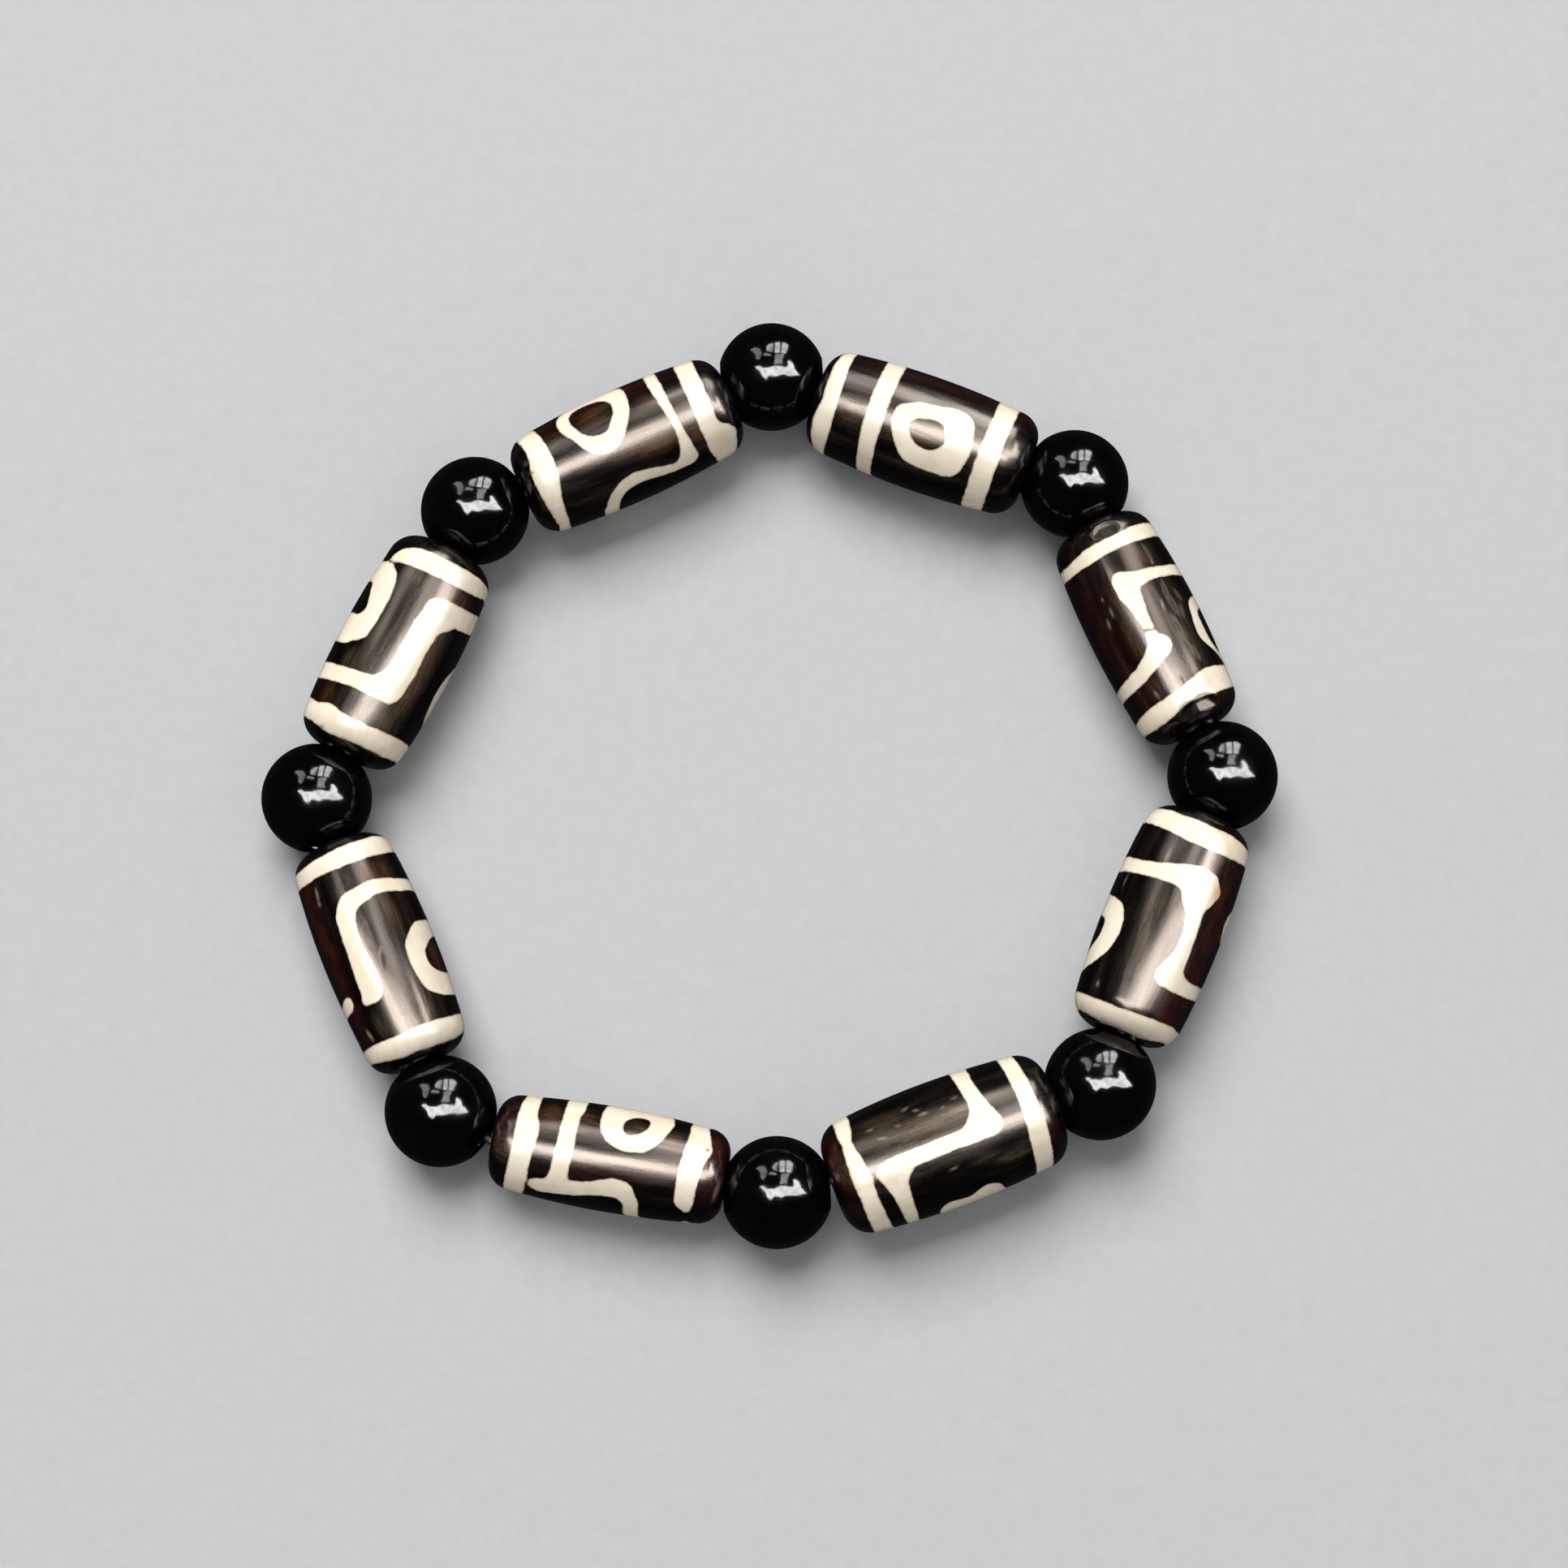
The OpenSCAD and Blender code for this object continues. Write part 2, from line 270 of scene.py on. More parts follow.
BEAD_5 = dict(
    open_bands=[
        [(-6.2, 2.75, 0.25), (-5.85, 2.2, 0.66), (-5.75, 1.05, 0.72), (-5.75, 0.1, 0.77), (-5.8, -0.7, 0.81),
         (-5.9, -1.25, 0.88), (-6, -1.65, 0.95), (-5.95, -2.2, 0.8), (-5.8, -2.9, 0.63)],
    ],
    bands=[
        [(5.65, 4.2, 0.72), (5.75, 2.5, 0.73), (5.75, 1.25, 0.74), (5.75, 0.1, 0.84), (5.8, -0.5, 0.8),
         (5.95, -1, 0.69), (5.95, -1.65, 0.63), (5.75, -2.45, 0.55), (5.7, -3, 0.6)],
    ],
    line=[(-2.55, 3.85, 0.53), (-2.35, 3.05, 0.53), (-1.55, 2.4, 0.76), (-0.85, 2.4, 0.77),
        (-0.15, 2.6, 0.65), (0.95, 2.9, 0.58), (1.9, 3.1, 0.68), (2.95, 3.25, 0.72), (4.05, 3.4, 0.7)],
    stem=[(2.95, 3, 0.68), (2.95, 2.2, 0.63), (2.95, 0.75, 0.63), (3, -0.7, 0.6), (3, -1.65, 0.59),
        (2.85, -2.35, 0.66), (2.75, -2.85, 0.7)],
    line_behind=[(2.8, -105, 0.6), (2.6, -128, 0.6), (-2.5, -140, 0.6), (-2.6, -200, 0.6),
        (-2.6, -250, 0.55)],
    gaps=[[(4.9, 4.2, 0.06), (4.88, 3.4, 0.09), (4.8, 2.7, 0.12)], [(-6.2, -1.67, 0), (-6.15, -1.67, 0)]],
    eyes=[dict(
        rim=[(-4, -2.9), (-3.8, -2.3), (-3.4, -1.5), (-2.6, -0.6), (-1.85, -0.35), (-1.15, -0.25),
         (-0.35, -0.35), (0.3, -0.6), (0.8, -1.15), (1.05, -1.95), (0.95, -2.7), (0.7, -3.05)],
        rim_behind=[(0.2, -100), (-1.5, -106), (-3.4, -100)],
        hole=[(-2.4, -2.55), (-2.25, -2.1), (-1.85, -1.7), (-1.3, -1.45), (-0.8, -1.45), (-0.6, -1.8),
         (-0.65, -2.25), (-1.15, -2.6), (-1.8, -2.75), (-2.2, -2.75)])],
    hidden_eye=(1.4, 138),
    warm=[(-7.3, -1, 0.9, 3, 1), (7.2, -0.5, 0.9, 2.5, 0.35), (0.5, 1.7, 3.5, 0.6, 0.4),
        (4.3, -1.5, 0.8, 1, 0.4), (-4.6, -1.7, 0.7, 0.8, 0.5)],
    amber=[(-1.5, -2, 0.8, 0.6, 0.8), (4.4, -1.6, 0.6, 0.9, 0.8), (-4.2, -1.6, 0.7, 0.7, 0.7),
        (2, -1.8, 0.6, 0.9, 0.6)],
    fibre=[(7, 1.2, 0.8, 1.2, 0.5)],
    pale_marks=[(-7.85, 0.9, 0.1, 0.9, -8)],
    pits=[(-6.6, -1.67, 0.19, 0.17), (7.4, 1.7, 0.16, 0.12)],
)
BEAD_6 = dict(
    bands=[
        [(-6.6, 3.3, 0.5), (-6.6, 2.25, 0.68), (-6.7, 1.05, 0.74), (-6.6, -0.1, 0.73), (-6.65, -1.25, 0.77),
         (-6.75, -2.35, 0.77), (-6.85, -3.15, 0.74), (-6.8, -3.75, 0.62)],
        [(6.6, 3.5, 0.54), (6.9, 2.85, 0.58), (7.15, 1.9, 0.62), (7.25, 0.6, 0.67), (7.3, -0.7, 0.74),
         (7.2, -1.8, 0.7), (7.1, -2.8, 0.75), (6.9, -3.4, 0.68)],
    ],
    line=[(-2.85, 1.95, 0.4), (-2.35, 1.35, 0.85), (-1.7, 1.35, 0.9), (-0.7, 1.35, 0.8), (0.95, 1.4, 0.68),
        (2.3, 1.35, 0.65), (3.35, 1.15, 0.75), (4.1, 0.55, 0.72), (4.3, -0.35, 0.62), (4.45, -1.25, 0.57),
        (4.3, -2.15, 0.52), (3.95, -2.95, 0.5), (3.45, -3.9, 0.46)],
    stem=[(-3.35, 3.75, 0.4), (-2.65, 3.15, 0.55)],
    line_behind=[(3.3, -108, 0.55), (3.2, -150, 0.6), (-3, -175, 0.6), (-3.3, -250, 0.5)],
    ends_at_stem=True,
    gaps=[[(-3.9, 2.9, 0.1), (-3, 2.52, 0.09), (-2.1, 2.35, 0.07), (-1.6, 2.6, 0.07)]],
    eyes=[dict(
        rim=[(-4.85, -4), (-4.65, -3.45), (-4.25, -2.8), (-3.75, -2.25), (-3, -2), (-1.85, -1.85),
         (-0.85, -1.85), (0, -2), (0.5, -2.5), (1.05, -3.1), (0.95, -3.7), (0.75, -4.05)],
        rim_behind=[(0.5, -102), (-0.3, -118), (-1.9, -124), (-3.7, -118), (-4.7, -102)],
        hole=[(-3.15, -3.95), (-2.9, -3.5), (-2.25, -3.1), (-1.65, -3), (-1, -3.15), (-0.6, -3.55),
         (-0.4, -3.95)],
        hole_behind=[(-0.5, -96), (-1.1, -104), (-2.5, -104), (-3.1, -96)])],
    hidden_eye=(1.6, 132),
    warm=[(1.5, 3.2, 7, 0.9, 0.8), (-1.8, -3.6, 1.3, 0.6, 0.5), (5.5, -1.8, 0.8, 1.2, 0.4)],
    amber=[(5.4, -1.8, 0.8, 1.4, 0.7), (-1.8, -3.6, 1.2, 0.6, 0.7), (-5.2, -1.6, 0.7, 0.7, 0.5),
        (2.2, -2, 1.4, 0.7, 0.4)],
    fibre=[(-4.8, 1.6, 1, 0.5, 0.4), (-1.2, 0.2, 3, 0.4, 0.3)],
    pale_marks=[(-5.2, 2.6, 0.42, 0.14, 14), (5.35, 2.45, 0.52, 0.1, -8), (4.7, 2.55, 0.16, 0.1, 30)],
    pits=[(-0.6, -0.2, 0.75, 0.2, -12), (2, 0.15, 0.25, 0.09, -25)],
)
BEAD_7 = dict(
    bands=[
        [(-6.25, 3.85, 0.71), (-6.35, 3.15, 0.65), (-6.25, 2.3, 0.92), (-6.35, 1.5, 0.82),
         (-6.35, 0.45, 0.76), (-6.3, -0.55, 0.71), (-6.25, -1.7, 0.76), (-6.25, -2.9, 0.8),
         (-6.25, -3.85, 0.72)],
    ],
    open_bands=[
        [(6.1, 3.5, 0.3), (6.5, 3, 0.61), (6.75, 2.2, 0.74), (6.85, 1.4, 0.76), (6.9, 0.4, 0.76),
         (6.9, -0.8, 0.72), (6.85, -1.8, 0.71), (6.8, -2.8, 0.66), (6.65, -3.55, 0.45)],
    ],
    line=[(-3.45, 4, 0.63), (-3.25, 3.15, 0.6), (-3.05, 2.3, 0.6), (-2.95, 1.3, 0.63), (-2.85, 0.3, 0.73),
        (-2.6, -0.95, 0.95), (-0.75, -1, 1), (1.1, -0.95, 0.95), (2.75, -1.05, 1), (4.05, -1.1, 0.93),
        (4.2, -2.2, 0.8), (4.2, -3.25, 0.76), (4.2, -4.2, 0.7)],
    line_behind=[(4, -110, 0.6), (3.4, -165, 0.6), (-3.1, -192, 0.6), (-3.4, -250, 0.6)],
    blobs=[[(-2.1, 0.1, 0.4), (-1.6, -0.2, 0.4)], [(3, -1.9, 0.4), (3.45, -2.3, 0.5)]],
    gaps=[[(5.7, 4.1, 0.06), (5.68, 3.6, 0.07), (5.72, 3, 0.09)]],
    eyes=[dict(
        rim=[(-1.15, 4.05), (-1.05, 3.55), (-0.65, 3.25), (-0.4, 2.85), (-0.05, 2.5), (0.8, 2.35), (1.8, 2.3),
         (3.15, 2.3), (4.15, 2.4), (5, 2.65), (5.4, 3.1), (5.65, 3.55), (5.5, 3.85)],
        rim_behind=[(5, 98), (3.6, 112), (1.5, 116), (-0.5, 108), (-1.2, 97)],
        hole=[(1.2, 3.95), (1.4, 3.6), (1.9, 3.45), (2.55, 3.6), (3.3, 3.85), (3.8, 3.95)],
        hole_behind=[(3.3, 93), (2.5, 99), (1.6, 99), (1.2, 92)]), dict(
        rim=[(-3.4, -4.05), (-2.6, -3.98), (-1.6, -3.88), (-0.6, -3.93), (0.6, -4.12)],
        rim_behind=[(1, -104), (0.6, -124), (-1.5, -133), (-3.4, -124), (-4, -104)],
        hole_behind=[(-0.3, -106), (-0.6, -117), (-2.4, -117), (-2.8, -106)])],
    warm=[(5.4, -2, 0.8, 1.5, 0.4), (-4.6, 3.3, 1.2, 0.7, 0.3)],
    amber=[(-1, -2.3, 3.4, 0.5, 0.7), (5.4, -2.2, 0.6, 1.4, 0.6), (-4.7, 2.9, 1.2, 0.6, 0.5)],
    fibre=[(-1.6, -2.2, 3.2, 0.5, 0.6), (-4.6, -1.7, 1.2, 0.6, 0.6), (0.4, 1.9, 2.4, 0.5, 0.4),
        (2.6, -2.2, 1, 0.5, 0.4), (-1.9, 2.6, 0.9, 0.7, 0.5), (5.6, 1.6, 0.5, 1.2, 0.4)],
    pits=[(-7.1, 2.1, 0.1, 0.25)],
)
BEAD_8 = dict(
    bands=[
        [(-6.2, 3.5, 0.71), (-5.9, 2.7, 0.74), (-5.85, 1.85, 0.79), (-6, 0.75, 0.93), (-6.1, -0.25, 0.89),
         (-6.3, -1.5, 0.66), (-6.35, -2.7, 0.5), (-6.35, -3.7, 0.4)],
        [(6.25, 3.9, 0.7), (6.25, 2.25, 0.71), (6.2, 0.5, 0.72), (6.1, -0.9, 0.69), (6.05, -1.6, 0.7),
         (6.5, -2.7, 1.2), (6.3, -4, 0.8)],
    ],
    line=[(3.65, 3.95, 0.45), (3.75, 2.9, 0.46), (3.85, 1.85, 0.41), (3.95, 0.45, 0.33), (4, -0.55, 0.3),
        (4, -1.5, 0.38), (3.8, -3, 0.7), (2.75, -3.25, 0.38), (1.7, -3.1, 0.43), (0.7, -2.9, 0.48),
        (-0.3, -2.75, 0.52), (-1.3, -2.9, 0.5), (-2.2, -3.4, 0.5), (-2.8, -4.05, 0.55)],
    line_behind=[(-3, -110, 0.6), (-3.1, -215, 0.6), (2.9, -232, 0.6), (3.5, -255, 0.5)],
    eyes=[dict(
        rim=[(-3.75, 3.45), (-3.85, 2.85), (-3.55, 2.2), (-3.15, 1.7), (-2.9, 1), (-2.45, 0.3), (-1.8, -0.15),
         (-1.2, -0.25), (-0.45, -0.1), (0.25, 0.45), (0.8, 1.15), (1.35, 1.95), (1.6, 2.85), (1.6, 3.55),
         (1.25, 3.9), (0.1, 4), (-1.6, 4), (-2.95, 3.85)],
        hole=[(-2.85, 2.85), (-2.8, 3.35), (-2.45, 3.6), (-1.6, 3.7), (-0.75, 3.65), (-0.1, 3.5), (0.35, 3.1),
         (0.3, 2.45), (-0.1, 1.95), (-0.6, 1.4), (-1.1, 1.25), (-1.8, 1.4), (-2.35, 1.8), (-2.65, 2.35)])],
    hidden_eye=(0.6, -142),
    warm=[(0, 3.5, 7, 0.9, 0.6), (1, -0.8, 4, 0.6, 0.15)],
    amber=[(2.3, -1.3, 1.7, 0.5, 1), (-0.6, -0.75, 1.6, 0.4, 0.25), (-4.6, 2.4, 0.9, 0.6, 0.6),
        (2.6, 2.2, 0.8, 0.6, 0.5), (5.1, -1.6, 0.5, 0.8, 0.7), (-1.3, 2.6, 1.2, 0.8, 0.6)],
    fibre=[(-0.8, 3, 1.6, 0.5, 0.3), (5, -1.3, 0.6, 1, 0.4)],
    tan_marks=[(6.6, -2.75, 0.65, 0.75, 0, 0.35)],
    pits=[(-7, 1.6, 0.2, 0.25), (-6.9, 0.8, 0.15, 0.15)],
)
PATTERNS = [BEAD_1, BEAD_2, BEAD_3, BEAD_4, BEAD_5, BEAD_6, BEAD_7, BEAD_8]


def unit(v):
    return v / np.linalg.norm(v)


def across(heading):
    """The level direction to the left of a heading."""
    return np.cross(UP, heading)


def round_middle(i):
    low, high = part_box(f"round_bead_{i + 1}")
    return np.array((low + high) / 2) / MM


def round_radius():
    low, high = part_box("round_bead_1")
    return (high.z - low.z) / 2 / MM


ROUND_MIDDLES = [round_middle(i) for i in range(PAIRS)]
ROUND_RADIUS = round_radius()


def level(v):
    return np.array([v[0], v[1], 0.0])


def round_heading(i):
    """The hole runs from the bead before to the bead after."""
    return unit(level(ROUND_MIDDLES[(i + 1) % PAIRS] - ROUND_MIDDLES[(i - 1) % PAIRS]))


class LongBead:
    """Where a long bead lies, and the barrel that its outside follows."""

    def __init__(self, i):
        self.index = i
        self.length, self.radius, along, outward, turn = LONG_BEADS[i]
        here, there = level(ROUND_MIDDLES[i]), level(ROUND_MIDDLES[(i + 1) % PAIRS])
        self.chord = unit(there - here)
        self.chord_out = across(self.chord)
        self.chord_middle = (here + there) / 2
        self.axis = self.chord * cos(radians(turn)) + self.chord_out * sin(radians(turn))
        self.out = across(self.axis)
        self.middle = self.chord_middle + along * self.chord + outward * self.chord_out + self.radius * UP
        self.shoulder = SHOULDER_SHARE * self.radius
        self.shoulder_at = self.length / 2 - self.shoulder
        self.side_radius = (self.shoulder_at ** 2 + BARREL_FALL ** 2) / (2 * BARREL_FALL)
        self.side_middle = self.radius - self.side_radius
        inner = sqrt((self.side_radius - self.shoulder) ** 2 - self.shoulder_at ** 2)
        self.shoulder_from_axis = self.side_middle + inner
        self.side_end = self.shoulder_at * self.side_radius / (self.side_radius - self.shoulder)
        self.mouth = MOUTH_SHARE * self.radius
        self.turn_length = 2 * pi * self.radius

    def radial(self, angle):
        """The direction away from the axis at an angle from the top, outward first."""
        return sin(angle) * self.out + cos(angle) * UP

    def radius_at(self, along):
        """Distance from the axis to the outside."""
        along = np.abs(along)
        side = self.side_middle + np.sqrt(np.maximum(self.side_radius ** 2 - along ** 2, 0))
        rise = np.maximum(self.shoulder ** 2 - (along - self.shoulder_at) ** 2, 0)
        return np.where(along <= self.side_end, side, self.shoulder_from_axis + np.sqrt(rise))

    def seen(self, along, outward):
        """A point charted from above, laid on the bead: how far along it, and round it from its top."""
        point = self.chord_middle + along * self.chord + outward * self.chord_out + CHART_PLANE * UP
        sight = unit(CAMERA_AT - point)
        start = point - self.middle
        sight_across = np.array([sight @ self.out, sight[2]])
        start_across = np.array([start @ self.out, start[2]])
        radius = self.radius
        for _ in range(SIGHT_PASSES):
            a = sight_across @ sight_across
            b = start_across @ sight_across
            c = start_across @ start_across - radius ** 2
            reach = (-b + sqrt(max(b * b - a * c, 0))) / a
            on_axis = start @ self.axis + reach * (sight @ self.axis)
            radius = float(self.radius_at(on_axis))
        hit = start_across + reach * sight_across
        return on_axis, self.radius * atan2(hit[0], hit[1])

    def charted(self, points):
        return [self.seen(p[0], p[1]) + tuple(p[2:]) for p in points]

    def behind(self, points):
        return [(p[0], self.radius * radians(p[1])) + tuple(p[2:]) for p in points]

    def joined(self, points):
        """Points laid round the bead, each on the turn nearest to the one before."""
        out = np.array(points, float)
        for before, here in zip(out[:-1], out[1:]):
            here[1] += self.turn_length * np.round((before[1] - here[1]) / self.turn_length)
        return out


def rounded(points):
    """A closed outline with one more point between each two, on a smooth curve through them all."""
    before, after, last = np.roll(points, 1, 0), np.roll(points, -1, 0), np.roll(points, -2, 0)
    middle = (9 * (points + after) - before - last) / 16
    return np.stack([points, middle], 1).reshape(-1, points.shape[1])


def to_segment(along, around, a, b):
    """How far a net of points is from a straight piece, and how far along that piece each one lies."""
    dx, dy = b[0] - a[0], b[1] - a[1]
    px, py = along - a[0], around - a[1]
    share = np.clip((px * dx + py * dy) / max(dx * dx + dy * dy, TINY), 0, 1)
    return np.hypot(px - share * dx, py - share * dy), share


def to_line(along, around, points):
    """Distance to the edge of a line of changing width, negative inside it."""
    nearest = np.full(along.shape, FAR)
    for a, b in zip(points[:-1], points[1:]):
        distance, share = to_segment(along, around, a, b)
        nearest = np.minimum(nearest, distance - (a[2] + share * (b[2] - a[2])))
    return nearest


def to_outline(along, around, points):
    """Distance to a closed outline, negative inside it."""
    nearest = np.full(along.shape, FAR)
    inside = np.zeros(along.shape, bool)
    for a, b in zip(points, np.roll(points, -1, 0)):
        distance, _ = to_segment(along, around, a, b)
        nearest = np.minimum(nearest, distance)
        if b[1] != a[1]:
            passes = (a[1] > around) != (b[1] > around)
            inside ^= passes & (along < a[0] + (around - a[1]) / (b[1] - a[1]) * (b[0] - a[0]))
    return np.where(inside, -nearest, nearest)


def pattern_lines(bead, pattern):
    """The bands round the bead's ends, and the winding line between them, each closed behind the bead."""
    lines = []
    for key in ("bands", "open_bands"):
        for band in pattern.get(key, []):
            points = bead.charted(band)
            along, around, width = points[0]
            ends = TAPER if key == "open_bands" else [(0, width)]
            points += [(along, around - bead.turn_length + short, width) for short, width in ends]
            lines.append(np.array(points))
    line, behind = bead.charted(pattern["line"]), bead.behind(pattern["line_behind"])
    stem = bead.charted(pattern.get("stem", []))
    if not stem:
        lines.append(bead.joined(line + behind + line[:1]))
    elif pattern.get("ends_at_stem"):
        lines.append(bead.joined(line + behind + stem))
    else:
        lines.append(np.array(line))
        lines.append(bead.joined(stem + behind + line[:1]))
    lines += [np.array(bead.charted(blob)) for blob in pattern.get("blobs", [])]
    return lines


def hidden_eye(bead, along, angle):
    """A plain oval eye on the side that the photograph doesn't show."""
    way_round = np.linspace(0, 2 * pi, HIDDEN_POINTS, endpoint=False)
    middle = bead.radius * radians(angle)
    return [
        (sign, np.stack([along + a * np.cos(way_round), middle + b * np.sin(way_round)], 1))
        for sign, (a, b) in ((1, HIDDEN_RIM), (-1, HIDDEN_HOLE))
    ]


def pattern_eyes(bead, pattern):
    """The ring-shaped eyes: outlines that add cream, and those that take it away again."""
    eyes = []
    for eye in pattern["eyes"]:
        for key, sign in (("rim", 1), ("hole", -1)):
            points = bead.charted(eye.get(key, [])) + bead.behind(eye.get(key + "_behind", []))
            if points:
                eyes.append((sign, rounded(bead.joined(points))))
    if "hidden_eye" in pattern:
        eyes += hidden_eye(bead, *pattern["hidden_eye"])
    return eyes


def softened(net):
    """A net of values round a bead, smoothed a little with its neighbours."""
    for _ in range(SOFTENING_PASSES):
        net = (np.roll(net, 1, 1) + 2 * net + np.roll(net, -1, 1)) / 4
        edged = np.pad(net, ((1, 1), (0, 0)), mode="edge")
        net = (edged[:-2] + 2 * net + edged[2:]) / 4
    return net


class Net:
    """Values laid over a bead's outside: rows go along it, and columns go round it."""

    def __init__(self, bead):
        self.bead = bead
        self.rows = int(bead.length / NET_SPACING) + 3
        self.columns = int(bead.turn_length / NET_SPACING)
        along = (np.arange(self.rows) - (self.rows - 1) / 2) * NET_SPACING
        around = np.arange(self.columns) * bead.turn_length / self.columns
        self.along, self.around = np.meshgrid(along, around, indexing="ij")

    def nearest(self, measure, points):
        """A measure to what the points outline, over every turn of the bead that they reach."""
        turn = self.bead.turn_length
        low, high = points[:, 1].min() - LINE_REACH, points[:, 1].max() + LINE_REACH
        turns = range(floor(low / turn), ceil(high / turn))
        return np.minimum.reduce([measure(self.along, self.around + k * turn, points) for k in turns])

    def pattern(self, pattern):
        """Signed distance to the edge of the cream lines in millimetres, negative on the cream."""
        cream = eyes = np.full(self.along.shape, FAR)
        for points in pattern_lines(self.bead, pattern):
            cream = np.minimum(cream, self.nearest(to_line, points))
        for sign, points in pattern_eyes(self.bead, pattern):
            distance = self.nearest(to_outline, points)
            eyes = np.minimum(eyes, distance) if sign > 0 else np.maximum(eyes, -distance)
        cream = softened(np.clip(np.minimum(cream, eyes), -DEEPEST, DEEPEST))
        for gap in pattern.get("gaps", []):
            cream = np.maximum(cream, -self.nearest(to_line, np.array(self.bead.charted(gap))))
        return cream

    def spot(self, along, outward, half_length, half_width, turn=0, strength=1):
        """A soft-edged oval: its strength in the middle, 0 outside it."""
        s, v = self.bead.seen(along, np.clip(outward, -self.bead.radius, self.bead.radius))
        once_round, angle = self.bead.turn_length, radians(turn)
        ds = self.along - s
        dv = (self.around - v + once_round / 2) % once_round - once_round / 2
        a = (ds * cos(angle) + dv * sin(angle)) / half_length
        b = (dv * cos(angle) - ds * sin(angle)) / half_width
        return strength * np.exp(-(a * a + b * b) ** 1.5)

    def marks(self, marks):
        return np.maximum.reduce([np.zeros(self.along.shape)] + [self.spot(*mark) for mark in marks])

    def tints(self, tints):
        return self.marks([(*place, 0, strength) for *place, strength in tints])

    def read(self, net, along, around):
        """The net's value at given places, between its points."""
        row = np.clip(along / NET_SPACING + (self.rows - 1) / 2, 0, self.rows - 1)
        column = (around / self.bead.turn_length * self.columns) % self.columns
        r, c = np.minimum(row.astype(int), self.rows - 2), column.astype(int)
        fr, fc = row - r, column - c
        c0, c1 = c % self.columns, (c + 1) % self.columns
        near = net[r, c0] * (1 - fc) + net[r, c1] * fc
        further = net[r + 1, c0] * (1 - fc) + net[r + 1, c1] * fc
        return near * (1 - fr) + further * fr


def placed(name, data):
    """A new object in the scene."""
    thing = bpy.data.objects.new(name, data)
    bpy.context.scene.collection.objects.link(thing)
    return thing


def made(name, maker):
    """A new object in the scene, with the mesh that its maker holds."""
    mesh = bpy.data.meshes.new(name)
    maker.to_mesh(mesh)
    maker.free()
    return placed(name, mesh)


def new_piece(name, maker, node, material):
    """An object made in millimetres that stands for a CAD node."""
    bmesh.ops.scale(maker, vec=(MM, MM, MM), verts=maker.verts)
    piece = made(name, maker)
    piece.data.shade_smooth()
    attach(piece, BODY)
    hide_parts(node)
    piece.data.materials.append(material)
    return piece


def spun(outline, middle, axis, steps):
    """A closed outline of (along, from the axis), spun once round the axis."""
    out = across(axis)
    maker = bmesh.new()
    points = [maker.verts.new(middle + s * axis + r * out) for s, r in outline]
    edges = [maker.edges.new(pair) for pair in zip(points, points[1:] + points[:1])]
    bmesh.ops.spin(
        maker, geom=points + edges, cent=middle, axis=axis, angle=2 * pi, steps=steps, use_merge=True
    )
    bmesh.ops.remove_doubles(maker, verts=maker.verts, dist=SAME_POINT)
    bmesh.ops.recalc_face_normals(maker, faces=maker.faces)
    return maker


def long_outline(bead):
    """Outside, flared mouths and hole of a long bead."""
    half = bead.length / 2
    # Even steps along the side, up to where the shoulder's circle touches it
    steps = np.linspace(-half, half, int(2 * half / LONG_STEP_ALONG))
    side = [s for s in steps if abs(s) < bead.side_end - LONG_STEP_ALONG / 3]
    begins = asin((bead.side_end - bead.shoulder_at) / bead.shoulder)
    shoulder = [
        (bead.shoulder_at + bead.shoulder * sin(t), bead.shoulder_from_axis + bead.shoulder * cos(t))
        for t in np.linspace(begins, pi / 2, SHOULDER_STEPS)
    ]
    face = [(half, r) for r in np.linspace(bead.shoulder_from_axis, bead.mouth, FACE_STEPS)[1:-1]]
    # The mouth has a softened lip, and narrows evenly down to the hole
    lip = [(half - depth, bead.mouth - fall) for depth, fall in LIP]
    slope = (bead.mouth - LONG_HOLE_RADIUS) / MOUTH_DEPTH
    flare = [(half - depth, bead.mouth - FLARE_FALL - slope * depth) for depth in FLARE_STEPS]
    end = shoulder + face + lip + flare + [(half - MOUTH_DEPTH, LONG_HOLE_RADIUS)]
    reach = half - MOUTH_DEPTH
    hole = [(s, LONG_HOLE_RADIUS) for s in np.linspace(reach, -reach, LONG_HOLE_STEPS)[1:-1]]
    start = [(-s, r) for s, r in end]
    return [(s, float(bead.radius_at(s))) for s in side] + end + hole + start[::-1]


def wear_seats(points, bead):
    """Points inside the seat worn by a round neighbour move back along the bead onto it."""
    seat = ROUND_RADIUS + BEAD_ROOM
    for neighbour, side in ((bead.index, -1), ((bead.index + 1) % PAIRS, 1)):
        offset = points - ROUND_MIDDLES[neighbour]
        b = offset @ bead.axis
        c = (offset ** 2).sum(1) - seat ** 2
        back = b + side * np.sqrt(np.maximum(b * b - c, 0))
        points = points - np.where(c < 0, back, 0)[:, None] * bead.axis
    return points


def grind_facets(points, bead, facets):
    """Small flats left by the grinder: what stands above each one's plane goes down onto it."""
    for along, outward, reach, lean_along, lean_round, depth in facets:
        s, v = bead.seen(along, outward)
        angle, lean = v / bead.radius, radians(lean_along)
        base = bead.middle + s * bead.axis + bead.radius_at(s) * bead.radial(angle)
        flat = sin(lean) * bead.axis + cos(lean) * bead.radial(angle + radians(lean_round))
        over = (points - base) @ flat + depth
        near = np.clip((reach - np.linalg.norm(points - base, axis=1)) / FACET_EDGE, 0, 1)
        points = points - (np.maximum(over, 0) * near)[:, None] * flat
    return points


